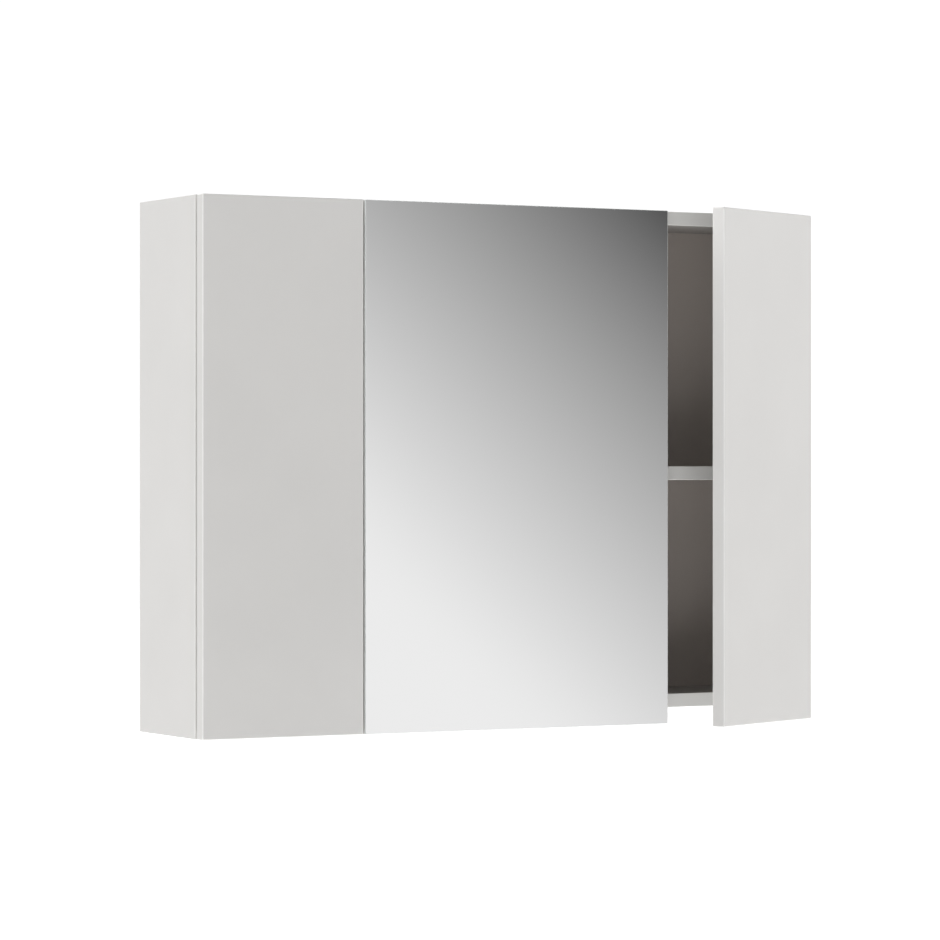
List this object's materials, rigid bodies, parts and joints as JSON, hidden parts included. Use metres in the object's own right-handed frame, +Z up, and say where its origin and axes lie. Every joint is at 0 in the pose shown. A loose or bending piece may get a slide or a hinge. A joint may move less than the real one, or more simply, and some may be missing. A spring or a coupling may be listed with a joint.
{
  "type": "mirror cabinet",
  "caption": "Wall-hung bathroom cabinet with a full-face mirror door between two plain grey doors, shelves on pins, concealed hinges and a finger-pull recess below.",
  "frame": {"origin": "middle of the top panel's rear edge, on the wall plane", "axes": "+Z up, +X to the right seen from the front, the doors face -Y and the wall is the plane Y = 0"},
  "size_m": [0.8003, 0.2518, 0.6],
  "materials": {
    "door_lacquer": "satin light grey lacquer on board",
    "side_lacquer": "satin light grey lacquer on board",
    "carcass_board": "fine textured grey melamine board",
    "shelf_board": "fine textured grey melamine board",
    "back_sheet": "thin coated fibreboard",
    "mirror_glass": "silvered float glass with polished edges",
    "hinge_steel": "nickel plated",
    "pin_steel": "nickel plated",
    "hook_steel": "zinc plated",
    "hanger_plastic": "moulded",
    "bumper_plastic": "soft clear dots"
  },
  "bodies": {
    "carcass": {"back_panel": "back_sheet", "bottom_panel": "carcass_board", "left_hanger": "hanger_plastic", "left_hanger_hook": "hook_steel", "left_lower_hinge_arm": "hinge_steel", "left_lower_hinge_plate": "hinge_steel", "left_partition": "carcass_board", "left_shelf": "shelf_board", "left_shelf_pin_front_left": "pin_steel", "left_shelf_pin_front_right": "pin_steel", "left_shelf_pin_rear_left": "pin_steel", "left_shelf_pin_rear_right": "pin_steel", "left_side_panel": "side_lacquer", "left_upper_hinge_arm": "hinge_steel", "left_upper_hinge_plate": "hinge_steel", "middle_shelf": "shelf_board", "middle_shelf_pin_front_left": "pin_steel", "middle_shelf_pin_front_right": "pin_steel", "middle_shelf_pin_rear_left": "pin_steel", "middle_shelf_pin_rear_right": "pin_steel", "mirror_lower_hinge_arm": "hinge_steel", "mirror_lower_hinge_plate": "hinge_steel", "mirror_upper_hinge_arm": "hinge_steel", "mirror_upper_hinge_plate": "hinge_steel", "right_hanger": "hanger_plastic", "right_hanger_hook": "hook_steel", "right_lower_hinge_arm": "hinge_steel", "right_lower_hinge_plate": "hinge_steel", "right_partition": "carcass_board", "right_shelf": "shelf_board", "right_shelf_pin_front_left": "pin_steel", "right_shelf_pin_front_right": "pin_steel", "right_shelf_pin_rear_left": "pin_steel", "right_shelf_pin_rear_right": "pin_steel", "right_side_panel": "side_lacquer", "right_upper_hinge_arm": "hinge_steel", "right_upper_hinge_plate": "hinge_steel", "top_panel": "carcass_board"},
    "left_door": {"left_door": "door_lacquer", "left_lower_bumper": "bumper_plastic", "left_lower_hinge_cup": "hinge_steel", "left_upper_bumper": "bumper_plastic", "left_upper_hinge_cup": "hinge_steel"},
    "mirror_door": {"mirror_door_board": "door_lacquer", "mirror_glass": "mirror_glass", "mirror_lower_bumper": "bumper_plastic", "mirror_lower_hinge_cup": "hinge_steel", "mirror_upper_bumper": "bumper_plastic", "mirror_upper_hinge_cup": "hinge_steel"},
    "right_door": {"right_door": "door_lacquer", "right_lower_bumper": "bumper_plastic", "right_lower_hinge_cup": "hinge_steel", "right_upper_bumper": "bumper_plastic", "right_upper_hinge_cup": "hinge_steel"},
    "left_hinge_links": {"left_lower_hinge_link": "hinge_steel", "left_upper_hinge_link": "hinge_steel"},
    "mirror_hinge_links": {"mirror_lower_hinge_link": "hinge_steel", "mirror_upper_hinge_link": "hinge_steel"},
    "right_hinge_links": {"right_lower_hinge_link": "hinge_steel", "right_upper_hinge_link": "hinge_steel"}
  },
  "joints": [
    {"name": "left_door_hinge", "type": "hinge", "parent": "carcass", "child": "left_door", "pos_m": [-0.3945, -0.163, 0], "axis": [0, 0, -1], "range_deg": [0, 105]},
    {"name": "mirror_door_hinge", "type": "hinge", "parent": "carcass", "child": "mirror_door", "pos_m": [-0.19425, -0.163, 0], "axis": [0, 0, -1], "range_deg": [0, 105]},
    {"name": "right_door_hinge", "type": "hinge", "parent": "carcass", "child": "right_door", "pos_m": [0.3945, -0.163, 0], "axis": [0, 0, 1], "range_deg": [-26, 79]},
    {"name": "left_link_turn", "type": "hinge", "parent": "carcass", "child": "left_hinge_links", "pos_m": [-0.3945, -0.163, 0], "axis": [0, 0, -1], "range_deg": [0, 52.5]},
    {"name": "mirror_link_turn", "type": "hinge", "parent": "carcass", "child": "mirror_hinge_links", "pos_m": [-0.19425, -0.163, 0], "axis": [0, 0, -1], "range_deg": [0, 52.5]},
    {"name": "right_link_turn", "type": "hinge", "parent": "carcass", "child": "right_hinge_links", "pos_m": [0.3945, -0.163, 0], "axis": [0, 0, 1], "range_deg": [-13, 39.5]}
  ],
  "couplings": [
    {"joint": "left_link_turn", "follows": "left_door_hinge", "ratio": 0.5},
    {"joint": "mirror_link_turn", "follows": "mirror_door_hinge", "ratio": 0.5},
    {"joint": "right_link_turn", "follows": "right_door_hinge", "ratio": 0.5}
  ]
}
